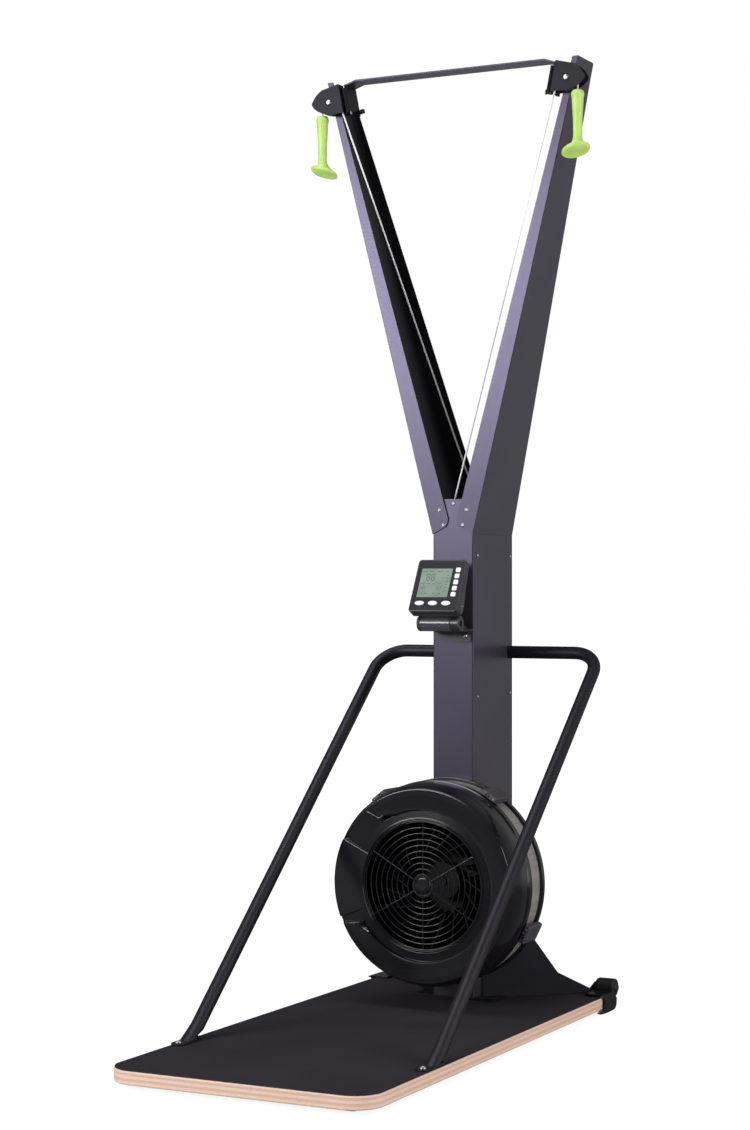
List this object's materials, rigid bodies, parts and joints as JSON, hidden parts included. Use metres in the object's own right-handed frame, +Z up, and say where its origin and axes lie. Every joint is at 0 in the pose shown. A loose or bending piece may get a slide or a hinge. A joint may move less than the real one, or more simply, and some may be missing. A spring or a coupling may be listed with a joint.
{
  "type": "ski trainer",
  "caption": "Standing ski trainer: a tall forked steel column on a board, with two rope pull handles on swivel pulleys, a vented fan brake, a tilting monitor and a handrail hoop.",
  "frame": {"origin": "bottom centre of the whole machine, on the floor midway between its front and rear ends", "axes": "+Z up, +X to the right of a user who stands on the board and faces the column, +Y towards the column and the transport wheels"},
  "size_m": [0.7092, 1.297, 2.199],
  "materials": {
    "frame_steel": "satin black powder coat",
    "black_moulding": "satin moulded plastic",
    "drive_nylon": "plain moulded nylon",
    "grey_mesh": "grey mesh",
    "flywheel_metal": "plain sheet",
    "bright_steel": "turned and plated",
    "plywood": "clear sealed",
    "black_mat": "fine pebbled",
    "black_rubber": "matt",
    "green_grip": "soft satin",
    "white_rope": "braided",
    "display_window": "clear window over a grey-green display",
    "pale_key": "satin"
  },
  "bodies": {
    "frame": {"base_board": "plywood", "board_mat": "black_mat", "front_foot_strip": "black_rubber", "rear_foot_strip": "black_rubber", "base_skirt": "frame_steel", "column_channel": "frame_steel", "column_rear_cover": "frame_steel", "left_arm": "frame_steel", "right_arm": "frame_steel", "crossbar": "frame_steel", "left_head_bracket": "frame_steel", "right_head_bracket": "frame_steel", "rope_guide": "drive_nylon", "handrail_hoop": "frame_steel", "fan_rear_cover": "black_moulding", "fan_mesh_band": "grey_mesh", "fan_front_cover": "black_moulding", "fan_grille": "black_moulding", "fan_cap": "black_moulding", "fan_clip_1": "black_moulding", "fan_clip_2": "black_moulding", "fan_clip_3": "black_moulding", "fan_clip_4": "black_moulding", "axle_bearing": "bright_steel", "drive_frame": "frame_steel", "recoil_spring_case": "drive_nylon", "monitor_bracket": "black_moulding", "left_wheel_bracket": "black_moulding", "right_wheel_bracket": "black_moulding", "left_rope_run": "white_rope", "right_rope_run": "white_rope"},
    "flywheel": {"flywheel": "flywheel_metal", "flywheel_axle": "bright_steel"},
    "left_drum": {"left_rope_drum": "drive_nylon"},
    "right_drum": {"right_rope_drum": "drive_nylon"},
    "left_pulley": {"left_pulley_housing": "frame_steel", "left_sheave_bolt": "bright_steel", "left_rope_turn": "white_rope"},
    "left_sheave": {"left_sheave": "drive_nylon"},
    "left_handle": {"left_handle": "green_grip", "left_rope_lead": "white_rope"},
    "right_pulley": {"right_pulley_housing": "frame_steel", "right_sheave_bolt": "bright_steel", "right_rope_turn": "white_rope"},
    "right_sheave": {"right_sheave": "drive_nylon"},
    "right_handle": {"right_handle": "green_grip", "right_rope_lead": "white_rope"},
    "monitor": {"monitor_case": "black_moulding", "lcd_window": "display_window"},
    "square_key_1": {"square_key_1": "pale_key"},
    "square_key_2": {"square_key_2": "pale_key"},
    "square_key_3": {"square_key_3": "pale_key"},
    "square_key_4": {"square_key_4": "pale_key"},
    "square_key_5": {"square_key_5": "pale_key"},
    "oval_key_1": {"oval_key_1": "pale_key"},
    "oval_key_2": {"oval_key_2": "pale_key"},
    "oval_key_3": {"oval_key_3": "pale_key"},
    "damper": {"damper_ring": "black_moulding"},
    "left_wheel": {"left_wheel": "black_rubber"},
    "right_wheel": {"right_wheel": "black_rubber"}
  },
  "joints": [
    {"name": "flywheel_spin", "type": "hinge", "parent": "frame", "child": "flywheel", "pos_m": [0, 0.3015, 0.321], "axis": [0, 1, 0], "continuous": true},
    {"name": "left_swivel", "type": "hinge", "parent": "frame", "child": "left_pulley", "pos_m": [-0.262, 0.3265, 2.148], "axis": [-0.1961, 0, 0.9806], "range_deg": [0, 90], "deforming": ["left_rope_run"]},
    {"name": "left_pull", "type": "slide", "parent": "left_pulley", "child": "left_handle", "axis": [0, 0, -1], "range_m": [0, 1.2], "stiffness_N_per_m": 20, "springref_m": -0.6, "deforming": ["left_rope_lead"]},
    {"name": "left_sheave_spin", "type": "hinge", "parent": "left_pulley", "child": "left_sheave", "pos_m": [-0.303, 0.3265, 2.145], "axis": [0, -1, 0], "range_deg": [0, 2936]},
    {"name": "left_drum_turn", "type": "hinge", "parent": "frame", "child": "left_drum", "pos_m": [0, 0.5415, 0.321], "axis": [0, 1, 0], "range_deg": [0, 4594]},
    {"name": "right_swivel", "type": "hinge", "parent": "frame", "child": "right_pulley", "pos_m": [0.262, 0.3265, 2.148], "axis": [0.1961, 0, 0.9806], "range_deg": [-90, 0], "deforming": ["right_rope_run"]},
    {"name": "right_pull", "type": "slide", "parent": "right_pulley", "child": "right_handle", "axis": [0, 0, -1], "range_m": [0, 1.2], "stiffness_N_per_m": 20, "springref_m": -0.6, "deforming": ["right_rope_lead"]},
    {"name": "right_sheave_spin", "type": "hinge", "parent": "right_pulley", "child": "right_sheave", "pos_m": [0.303, 0.3265, 2.145], "axis": [0, 1, 0], "range_deg": [0, 2936]},
    {"name": "right_drum_turn", "type": "hinge", "parent": "frame", "child": "right_drum", "pos_m": [0, 0.3935, 0.321], "axis": [0, 1, 0], "range_deg": [0, 4594]},
    {"name": "monitor_tilt", "type": "hinge", "parent": "frame", "child": "monitor", "pos_m": [0, 0.2905, 0.913], "axis": [1, 0, 0], "range_deg": [-14, 24]},
    {"name": "square_key_1_press", "type": "slide", "parent": "monitor", "child": "square_key_1", "axis": [0, 0.8878, -0.4602], "range_m": [0, 0.0015], "stiffness_N_per_m": 400, "springref_m": -0.001},
    {"name": "square_key_2_press", "type": "slide", "parent": "monitor", "child": "square_key_2", "axis": [0, 0.8878, -0.4602], "range_m": [0, 0.0015], "stiffness_N_per_m": 400, "springref_m": -0.001},
    {"name": "square_key_3_press", "type": "slide", "parent": "monitor", "child": "square_key_3", "axis": [0, 0.8878, -0.4602], "range_m": [0, 0.0015], "stiffness_N_per_m": 400, "springref_m": -0.001},
    {"name": "square_key_4_press", "type": "slide", "parent": "monitor", "child": "square_key_4", "axis": [0, 0.8878, -0.4602], "range_m": [0, 0.0015], "stiffness_N_per_m": 400, "springref_m": -0.001},
    {"name": "square_key_5_press", "type": "slide", "parent": "monitor", "child": "square_key_5", "axis": [0, 0.8878, -0.4602], "range_m": [0, 0.0015], "stiffness_N_per_m": 400, "springref_m": -0.001},
    {"name": "oval_key_1_press", "type": "slide", "parent": "monitor", "child": "oval_key_1", "axis": [0, 0.8878, -0.4602], "range_m": [0, 0.0015], "stiffness_N_per_m": 400, "springref_m": -0.001},
    {"name": "oval_key_2_press", "type": "slide", "parent": "monitor", "child": "oval_key_2", "axis": [0, 0.8878, -0.4602], "range_m": [0, 0.0015], "stiffness_N_per_m": 400, "springref_m": -0.001},
    {"name": "oval_key_3_press", "type": "slide", "parent": "monitor", "child": "oval_key_3", "axis": [0, 0.8878, -0.4602], "range_m": [0, 0.0015], "stiffness_N_per_m": 400, "springref_m": -0.001},
    {"name": "damper_turn", "type": "hinge", "parent": "frame", "child": "damper", "pos_m": [0, 0.2015, 0.321], "axis": [0, 1, 0], "range_deg": [0, 22]},
    {"name": "left_wheel_spin", "type": "hinge", "parent": "frame", "child": "left_wheel", "pos_m": [-0.2745, 0.6275, 0.049], "axis": [1, 0, 0], "continuous": true},
    {"name": "right_wheel_spin", "type": "hinge", "parent": "frame", "child": "right_wheel", "pos_m": [0.2745, 0.6275, 0.049], "axis": [1, 0, 0], "continuous": true}
  ],
  "couplings": [
    {"joint": "left_sheave_spin", "follows": "left_pull", "rad_per_m": 42.553},
    {"joint": "left_drum_turn", "follows": "left_pull", "rad_per_m": 66.667},
    {"joint": "right_sheave_spin", "follows": "right_pull", "rad_per_m": 42.553},
    {"joint": "right_drum_turn", "follows": "right_pull", "rad_per_m": 66.667}
  ]
}
